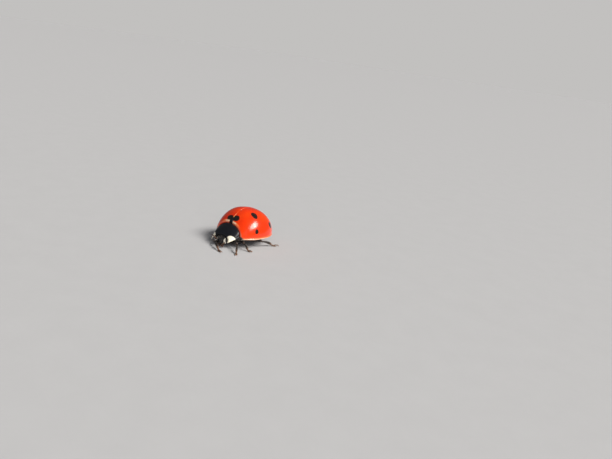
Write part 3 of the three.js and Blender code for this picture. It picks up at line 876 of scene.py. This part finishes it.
def head_relief(net, face):
    """How far the features of the face and the rings round the eyes stand out or in, in millimetres."""
    x, z = np.abs(net[..., 0]), net[..., 2]
    relief = -0.02 * bell(x, 0.3) * bell(z - 1.0, 0.22)
    # The groove above the mouth, the plate below it and a ridge over each feeler's socket.
    groove_z = 0.62 + 0.05 * (x / 0.35) ** 2
    relief -= 0.022 * bell(z - groove_z, 0.018) * (x < 0.46)
    relief += 0.025 * smooth(groove_z - z, 0.0, 0.03) * smooth(x, 0.46, 0.40) * smooth(z, 0.40, 0.44)
    relief += 0.045 * bell(z - 0.70 - 0.18 * (x - 0.5), 0.028) * smooth(x, 0.46, 0.52)
    pit = np.hypot(x - SOCKET.x, z - SOCKET.z)
    relief -= 0.05 * smooth(pit, SOCKET.radius, 0.4 * SOCKET.radius) - 0.018 * bell(pit - 0.085, 0.018)
    relief = relief * face + 0.004 * ripple(net, 0.22, 51)
    orbit = np.linalg.norm((xyz(x, net[..., 1], z) - EYE.place) / EYE.radii, axis=-1)
    return relief - 0.02 * bell(orbit - 1.03, 0.05) + 0.014 * bell(orbit - 1.22, 0.07)


def head_skin(paint):
    rows, columns = 190, 260
    along = -np.cos(np.linspace(0.02, 0.98, rows) * math.pi)[:, None]
    angle = np.linspace(-math.pi, math.pi, columns, endpoint=False)[None]
    net = head_point(angle, along)
    x, z = np.abs(net[..., 0]), net[..., 2]
    face = smooth(np.cos(angle), 0.15, 0.5) * np.ones_like(x)
    relief = head_relief(net, face)
    net = rolled(net + outward_normals(net, closed=True) * relief[..., None])
    height = (z - FACE_SPOT.z) / FACE_SPOT.half_tall
    spot_x = FACE_SPOT.x + FACE_SPOT.lean * (z - FACE_SPOT.z)
    spot_wide = FACE_SPOT.half_wide * (1 + 0.45 * np.clip(height, -1, 1))
    spot = (np.hypot((x - spot_x) / spot_wide, height) - 1) * 0.1
    spot = np.where(face > 0.02, spot, UNMARKED)
    shape = Shape()
    shape.add_rings(net, patch=np.clip(spot, -UNMARKED, UNMARKED), brown=0.5 * smooth(z, 0.5, 0.4) * face)
    add_piece("head_skin", shape, ["head"], paint)
    return net


def geodesic(frequency):
    """The points and faces of a sphere of radius 1, each side of an icosahedron cut in frequency parts."""
    golden = (1 + math.sqrt(5)) / 2
    corners = []
    for a in (-1, 1):
        for b in (-golden, golden):
            corners += [(0, a, b), (a, b, 0), (b, 0, a)]
    corners = unit(np.array(corners, float))
    near = np.linalg.norm(corners[:, None] - corners[None], axis=-1) < 1.1
    sides = [(i, j, k) for i, j, k in combinations(range(12), 3) if near[i, j] and near[j, k] and near[i, k]]
    points, faces, count = [], [], 0
    rows = np.arange(frequency + 1)
    starts = np.concatenate([[0], np.cumsum(frequency + 1 - rows)])
    for i, j, k in sides:
        for r in rows:
            c = np.arange(frequency + 1 - r)
            share = np.stack([frequency - r - c, c, np.full_like(c, r)], -1) / frequency
            points.append(share @ corners[[i, j, k]])
        for r in rows[:-1]:
            c = np.arange(frequency - r)
            a, b = starts[r] + c + count, starts[r + 1] + c + count
            faces.append(np.stack([a, a + 1, b], -1))
            faces.append(np.stack([a[:-1] + 1, b[:-1] + 1, b[:-1]], -1))
        count += starts[-1]
    points, faces = unit(np.vstack(points)), np.vstack(faces)
    _, first, same = np.unique(np.round(points, 5), axis=0, return_index=True, return_inverse=True)
    points, faces = points[first], same.reshape(-1)[faces]
    a, b, c = points[faces.T]
    inward = np.einsum("ij,ij->i", np.cross(b - a, c - a), a) < 0
    faces[inward] = faces[inward][:, ::-1]
    return points, faces


def compound_eyes(paint):
    facets, _ = geodesic(13)
    sphere, faces = geodesic(65)
    tree = KDTree(len(facets))
    for number, facet in enumerate(facets):
        tree.insert(facet, number)
    tree.balance()
    away = np.array([tree.find(place)[2] for place in sphere])
    dome = 0.006 * (1 - (away / away.max()) ** 2)
    points = sphere * EYE.radii * 0.985 + unit(sphere / EYE.radii) * dome[:, None] + EYE.place
    for name, side in SIDES.items():
        shape = Shape()
        shape.add(rolled(points * point(side, 1, 1)), faces)
        add_piece(f"compound_eye_{name}", shape, [f"eye_{name}"], paint)


# ---- mouthparts
def lip(shape):
    """The upper lip: a short plate with round corners under the front of the face."""
    rows, columns = 40, 60
    down = np.linspace(0, 1, rows)[:, None]
    s = np.linspace(-1, 1, columns)[None]
    half, thick = 0.27, 0.06
    x = s * half * (1 - 0.12 * down) * quarter_round((1.03 - down) / 0.58, 2.4, 0.02)
    y = -2.50 + 0.09 * (x / half) ** 2 + 0.05 * down - 0.03 * np.sin(down * math.pi)
    z = 0.47 - 0.16 * down + 0.02 * s**2 * down + 0.012 * bell(s, 0.2) * down
    outer = rolled(xyz(x, y, z))
    shape.add_plate(outer, outer + point(0, thick, 0), brown=0.55, patch=UNMARKED)
    return outer


def down_rod(value, s):
    """A number, a pair for the rod's start and end, or a function of the share of the way, at s."""
    if callable(value):
        return value(s)
    start, end = np.broadcast_to(value, 2)
    return start + (end - start) * s


def rod(shape, path_points, wide, deep, up=(0, 0, 1), steps=24, around=18, near=0.2, far=0.2, **values):
    """A rounded rod along a smooth line. wide, deep and the values are what down_rod takes."""
    path, s = stations(path_points, steps)
    rounding = ends(s, near, far)
    wide, deep = down_rod(wide, s) * rounding, down_rod(deep, s) * rounding
    net, _ = rings_along(path, wide, deep, point(*up), around)
    values = {name: down_rod(value, s)[:, None] for name, value in values.items()}
    shape.add_rings(net, patch=UNMARKED, **values)
    return net


def mouthparts(paint, coat):
    shape = Shape()
    coat.cover(lip(shape), 60, 0.07, 0.0022, closed=False, towards=point(0, -0.2, -1))
    for side in (1, -1):
        def part(places, wide, deep, **more):
            return rod(shape, [rolled(point(side * x, y, z)) for x, y, z in places], wide, deep, **more)

        mandible = [(0.30, -2.38, 0.40), (0.26, -2.52, 0.33), (0.13, -2.56, 0.27), (0.01, -2.53, 0.26)]
        part(mandible, (0.085, 0.017), (0.07, 0.021), far=0.06, brown=0.6)
        # The long palp: three joints and a hatchet-shaped blade.
        part([(0.26, -2.34, 0.36), (0.36, -2.44, 0.33)], 0.05, 0.05, brown=0.3)
        part([(0.35, -2.42, 0.33), (0.46, -2.52, 0.36), (0.48, -2.58, 0.34)], (0.04, 0.06), 0.042, brown=0.3)
        part([(0.48, -2.57, 0.34), (0.47, -2.66, 0.29)], 0.05, 0.045, brown=0.3)
        blade = part([(0.47, -2.64, 0.31), (0.44, -2.70, 0.27), (0.41, -2.74, 0.21)], (0.05, 0.16),
                     (0.05, 0.038), up=(side * 0.5, -1, 0.2), steps=34, around=26, far=0.1,
                     brown=lambda s: 0.3 + 0.5 * smooth(s, 0.8, 1.0))
        coat.cover(blade, 70, 0.05)
        # The short palp and the plate that bears it.
        part([(0.10, -2.42, 0.28), (0.15, -2.50, 0.22)], 0.032, 0.032, brown=0.4)
        part([(0.15, -2.49, 0.22), (0.17, -2.56, 0.17)], 0.03, 0.028, brown=0.5)
        part([(0.0, -2.2, 0.30), (0.06, -2.34, 0.26), (0.08, -2.46, 0.27)], 0.12, 0.05, brown=0.2)
    add_piece("mouthparts", shape, ["mouth"], paint)


# ---- feelers
# Each joint of a feeler: its share of the length and its half thickness.
FEELER_JOINTS = (
    (0.17, 0.062), (0.10, 0.050), (0.11, 0.038), (0.07, 0.034), (0.065, 0.033), (0.06, 0.033),
    (0.06, 0.036), (0.06, 0.044), (0.09, 0.066), (0.095, 0.080), (0.12, 0.078),
)
FEELERS = {
    "left": ((0.51, -2.45, 0.58), (0.70, -2.76, 0.60), (0.84, -3.10, 0.56)),
    "right": ((-0.51, -2.46, 0.70), (-0.65, -2.78, 1.10), (-0.72, -3.10, 1.32)),
}


def feeler(name, path_points, paint, coat):
    s = np.linspace(0, 1, 240)
    starts = np.cumsum([0] + [share for share, _ in FEELER_JOINTS])
    starts = starts / starts[-1]
    radius = np.zeros_like(s)
    for (_, thick), start, end in zip(FEELER_JOINTS, starts, starts[1:]):
        share = np.clip((s - start) / (end - start), 0, 1)
        bulge = (0.78 + 0.22 * share) * (1 - (2 * share - 1) ** 6 * 0.55)
        radius = np.where((s >= start) & (s <= end), thick * bulge, radius)
    radius *= np.sqrt(np.clip((1 - s) / 0.03, 0, 1)).clip(0.02, 1)
    flat = 1 - 0.35 * smooth(s, 0.65, 0.8)
    net, _ = rings_along(rolled(curve(path_points, len(s))), radius, radius * flat, point(0.3, 0.2, 1), 20)
    shape = Shape()
    shape.add_rings(net, patch=UNMARKED, brown=0.55 * smooth(s, 0.75, 0.62)[:, None] + 0.15)
    add_piece(f"feeler_{name}", shape, [f"antenna_{name}"], paint)
    coat.cover(net[::4], 260, 0.045, 0.0018, lean=0.55)


# ---- legs
# Hip, knee, ankle and toe of each leg.
LEGS = {
    "left_front": ((0.47, -1.74, 0.48), (1.8, -1.9, 0.7), (2.55, -2.65, 0.26), (3.02, -3.1, 0.19)),
    "left_middle": ((0.72, -0.72, 0.6), (1.98, -1.14, 0.74), (2.5, -1.06, 0.26), (3.04, -0.92, 0.19)),
    "left_hind": ((0.8, 0.4, 0.6), (2.35, 1.08, 0.74), (2.48, 2.44, 0.26), (2.88, 3.24, 0.19)),
    "right_front": ((-0.36, -1.74, 0.4), (-0.62, -2.92, 0.47), (0.84, -3.6, 0.26), (1.68, -3.86, 0.19)),
    "right_middle": ((-0.72, -0.72, 0.6), (-2.25, -0.4, 0.74), (-2.95, 0.45, 0.26), (-3.3, 1.05, 0.19)),
    "right_hind": ((-0.8, 0.4, 0.6), (-2.3, 1.25, 0.74), (-2.75, 2.4, 0.26), (-3.12, 3.1, 0.19)),
}
COXA_SHARE = 0.24  # of the way from hip to knee
UP = point(0, 0, 1)


def femur_rings(start, knee):
    """A flattened spindle, grooved below towards the knee."""
    middle = (start + knee) / 2 + UP * 0.03
    path, s = stations([start, middle, knee], 60)
    swell = np.sin(math.pi * np.clip(s * 0.9 + 0.08, 0, 1)) ** 0.8
    deep = (0.11 + 0.115 * swell) * ends(s, 0.12, 0.13)
    net, angle = rings_along(path, 0.72 * deep, deep, UP, 36, square=0.9)
    below = bell(angle[None] - 3 * RIGHT_ANGLE, 0.45) * smooth(s, 0.35, 0.7)[:, None]
    centre = net.mean(1, keepdims=True)
    return net + (centre - net) * (0.42 * below)[..., None], s


def tibia_rings(knee, ankle):
    """Slender at the knee, thicker towards the foot, with a ridge along its back."""
    out = unit((ankle - knee) * point(1, 1, 0))
    middle = (knee + ankle) / 2 + UP * 0.05 + out * 0.03
    path, s = stations([knee, middle, ankle], 60)
    thick = (0.078 + 0.042 * smooth(s, 0.1, 0.85)) * ends(s, 0.07, 0.06)
    net, angle = rings_along(path, 0.85 * thick, thick, UP, 30)
    back = bell(angle[None] - RIGHT_ANGLE, 0.3) * (smooth(s, 0.1, 0.3) * smooth(s, 0.97, 0.8))[:, None]
    centre = net.mean(1, keepdims=True)
    return net + (net - centre) * (0.22 * back)[..., None], s


def foot(shape, ankle, toe, coats):
    """The joints that show: a wedge, a two-lobed pad and the slim one that bears the claws."""
    forward = unit((toe - ankle) * point(1, 1, 0))
    across = np.cross(UP, forward)
    length = np.linalg.norm((toe - ankle)[:2]) * 0.93

    def at(share, height, aside=0.0):
        place = ankle + forward * length * share + across * aside
        return (place[0], place[1], height)

    pads = [rod(shape, [at(-0.06, 0.22), at(0.12, 0.16), at(0.36, 0.10)], (0.055, 0.11), (0.06, 0.072),
                steps=30, around=22, far=0.3, brown=0.7)]
    for aside in (1, -1):
        lobe = [at(0.30, 0.12, 0.01 * aside), at(0.46, 0.08, 0.05 * aside), at(0.64, 0.052, 0.085 * aside)]
        pads.append(rod(shape, lobe, (0.045, 0.07), (0.048, 0.044), steps=30, around=22, brown=0.7))
    slim = rod(shape, [at(0.42, 0.13), at(0.62, 0.17), at(0.86, 0.15), at(0.95, 0.115)],
               (0.028, 0.05), (0.028, 0.046), steps=34, brown=0.5)
    legs_coat, feet_coat = coats
    legs_coat.cover(slim, 60, 0.09, lean=0.65)
    for pad in pads:
        low = pad[..., 2].min()
        feet_coat.cover(pad, 190, 0.05, lean=0.45, allow=lambda p: smooth(p[..., 2], low + 0.09, low))
        legs_coat.cover(pad, 80, 0.085, lean=0.75)
    return at


def claws(name, at, paint):
    """Two curved claws, each with a tooth inside its base, their points on the floor."""
    shape = Shape()
    for aside in (1, -1):
        def part(places, wide, deep, **more):
            rod(shape, [at(share, z, aside * out) for share, z, out in places], wide, deep, **more)

        part([(0.93, 0.115, 0.02), (1.0, 0.13, 0.06), (1.07, 0.09, 0.095), (1.09, 0.008, 0.10)],
             (0.03, 0.0045), (0.036, 0.0054), steps=40, around=14, near=0.15, far=0.03, brown=(0.9, 0.3))
        part([(0.985, 0.12, 0.05), (1.01, 0.085, 0.055), (1.0, 0.045, 0.05)],
             (0.024, 0.0048), (0.03, 0.006), around=12, far=0.06, brown=0.7)
    add_piece(f"claws_{name}", shape, (), paint)


def leg(name, joints, paints, coats):
    hip, knee, ankle, toe = (point(*joint) for joint in joints)
    start = hip + (knee - hip) * COXA_SHARE
    outward, onward = unit(knee - hip), unit(ankle - knee)
    shape = Shape()
    coxa = rod(shape, [hip - outward * 0.1 + UP * 0.04, hip + outward * 0.12, start + outward * 0.02],
               (0.21, 0.14), (0.2, 0.15), steps=40, around=30, far=0.3, brown=0.0)
    trochanter = [start - outward * 0.06, start + outward * 0.13 - UP * 0.02]
    rod(shape, trochanter, (0.115, 0.095), (0.135, 0.105), around=24, near=0.4, far=0.5, brown=0.15)
    femur, s = femur_rings(start + outward * 0.06, knee + outward * 0.05)
    shape.add_rings(femur, patch=UNMARKED, brown=0.25 * smooth(s, 0.88, 1.0)[:, None])
    tibia, s = tibia_rings(knee - UP * 0.03, ankle + onward * 0.02)
    tone = 0.15 * smooth(s, 0.12, 0.0) + 0.65 * smooth(s, 0.72, 1.0)
    shape.add_rings(tibia, patch=UNMARKED, brown=tone[:, None])
    for aside in (1, -1):
        spur = ankle + np.cross(UP, onward) * 0.06 * aside
        rod(shape, [spur, spur + onward * 0.1 - UP * 0.03], (0.016, 0.0032), (0.016, 0.0032),
            steps=12, around=8, far=0.05, brown=0.8)
    at = foot(shape, ankle, toe, coats)
    legs_coat, _ = coats
    legs_coat.cover(coxa, 80, 0.08, lean=0.8)
    legs_coat.cover(femur, 260, 0.085, lean=0.85)
    legs_coat.cover(tibia, 330, 0.09, 0.0021, lean=0.76)
    last_third = tibia[38:]
    legs_coat.cover(last_third, 110, 0.10, 0.0021, lean=0.66)
    nodes = [f"{name}_{part}" for part in ("coxa", "femur", "tibia", "tarsus")]
    add_piece(f"leg_{name}", shape, nodes, paints[0])
    claws(name, at, paints[1])


# ---- the animal
def ladybird():
    lacquer = wing_case_paint()
    for name, side in SIDES.items():
        wing_case(name, side, lacquer)
    shell = shield_paint()
    scutellum_plate(shell)
    shield_plate(shell)

    cuticle = body_paint("body_cuticle")
    legs_coat, feet_coat = Coat(seed=101, cells=60), Coat(seed=102, cells=18)
    head_coat, belly_coat = Coat(seed=103, cells=8), Coat(seed=104, cells=2)
    trunk, chest = underside_skin(cuticle)
    below = lambda p: smooth(p[..., 2], 1.12, 0.95)
    belly_coat.cover(trunk[::3, ::3], 3800, 0.12, 0.0024, lean=0.82, allow=below)
    belly_coat.cover(chest[::2, ::2], 700, 0.12, 0.0024, lean=0.8, allow=below)

    head = head_skin(body_paint("head_cuticle", INK))
    fore = lambda p: smooth(-p[..., 1], 2.3, 2.45) * (p[..., 2] < 1.3)
    head_coat.cover(head[::3, ::3], 520, 0.07, 0.0019, lean=0.8, allow=fore)
    compound_eyes(eye_paint())
    mouthparts(cuticle, head_coat)
    for name, path in FEELERS.items():
        feeler(name, path, cuticle, head_coat)
    horn = claw_paint()
    for name, joints in LEGS.items():
        leg(name, joints, (cuticle, horn), (legs_coat, feet_coat))

    down = hair_paint("pale_setae", (0.10, 0.08, 0.065), (0.55, 0.46, 0.34))
    gold = hair_paint("golden_setae", (0.20, 0.09, 0.03), (0.62, 0.40, 0.18))
    legs_coat.finish("setae_legs", "legs", down)
    feet_coat.finish("setae_feet", "legs", gold)
    head_coat.finish("setae_head", "head", down)
    belly_coat.finish("setae_underside", "underside", down)


# ---- floor, light and camera
def floor():
    reach = 1.5
    mesh = bpy.data.meshes.new("floor")
    corners = [(-reach, -reach, 0), (reach, -reach, 0), (reach, reach, 0), (-reach, reach, 0)]
    mesh.from_pydata(corners, [], [(0, 1, 2, 3)])
    p = Paint("floor_card")
    colour = p.mix(p.noise(0.4, 3), (0.49, 0.49, 0.50), (0.52, 0.52, 0.53))
    mesh.materials.append(p.finish(colour, p.patches(2.0, 2, 0.75, 0.85)))
    card = new_object("floor", mesh)


CENTRE = (point(0, 0.3, 2.0) + PLACE) * MM  # what the camera is set out from
BACKDROP = (0.540, 0.531, 0.521, 1)


def towards(azimuth, elevation):
    """The direction from the model to a viewer or light; azimuth 0 is ahead of the head, 90 its left."""
    a, e = math.radians(azimuth), math.radians(elevation)
    return Vector((math.sin(a) * math.cos(e), -math.cos(a) * math.cos(e), math.sin(e)))


def lamp(name, azimuth, elevation, degrees_wide, strength, colour):
    """A far, round, soft light that looks degrees_wide across from the model."""
    light = bpy.data.lights.new(name, "SUN")
    light.angle = math.radians(degrees_wide)
    light.energy = strength
    light.color = colour
    holder = new_object(name, light)
    holder.rotation_mode = "QUATERNION"
    holder.rotation_quaternion = (-towards(azimuth, elevation)).to_track_quat("-Z", "Y")
    return holder


def lights():
    # Three suns side by side make one wide, soft light, which is weaker towards the head.
    azimuth, elevation, degrees_wide = 101, 43, 25
    for number, (turn, strength) in enumerate(((-15, 1.1), (0, 1.6), (15, 1.6))):
        lamp(f"key_{number}", azimuth + turn, elevation, degrees_wide, strength, (1.0, 0.97, 0.92))
    fill = lamp("fill", 48, 14, 40, 1.25, (0.96, 0.97, 1.0))
    fill.visible_glossy = False  # it lifts the shaded face without a second highlight
    world = bpy.data.worlds.new("studio")
    world.use_nodes = True
    tree = world.node_tree
    around = tree.nodes["Background"]
    around.inputs["Color"].default_value = (0.86, 0.90, 0.96, 1)
    around.inputs["Strength"].default_value = 0.11
    # What the camera sees past the floor is as pale as the floor.
    backdrop = tree.nodes.new("ShaderNodeBackground")
    backdrop.inputs["Color"].default_value = BACKDROP
    seen = tree.nodes.new("ShaderNodeLightPath")
    either = tree.nodes.new("ShaderNodeMixShader")
    tree.links.new(seen.outputs["Is Camera Ray"], either.inputs[0])
    tree.links.new(around.outputs[0], either.inputs[1])
    tree.links.new(backdrop.outputs[0], either.inputs[2])
    tree.links.new(either.outputs[0], tree.nodes["World Output"].inputs["Surface"])
    bpy.context.scene.world = world
    bpy.context.scene.view_settings.view_transform = "Standard"


def camera():
    """Low on the animal's left front and rolled a little, with the animal left of the picture's middle."""
    azimuth, elevation, roll = 44.55, 16.14, -6.44
    distance, lens = 66.0, 36.63
    aim_right, aim_up = 0.10285, -0.00819
    back = towards(azimuth, elevation)
    level = towards(azimuth + 90, 0)
    above = back.cross(level)
    turn = math.radians(roll)
    right = level * math.cos(turn) - above * math.sin(turn)
    up = level * math.sin(turn) + above * math.cos(turn)
    data = bpy.data.cameras.new("camera")
    data.lens = lens
    data.sensor_width = 36.0
    data.clip_start = 0.001
    data.clip_end = 10
    seer = new_object("camera", data)
    level_view = Matrix((right, up, back)).transposed()
    ahead = (-back + right * aim_right + up * aim_up).normalized()
    swing = (-back).rotation_difference(ahead)
    seer.matrix_world = Matrix.Translation(Vector(CENTRE) + back * distance * MM) @ (
        swing.to_matrix() @ level_view
    ).to_4x4()
    bpy.context.scene.camera = seer


ladybird()
floor()
lights()
camera()
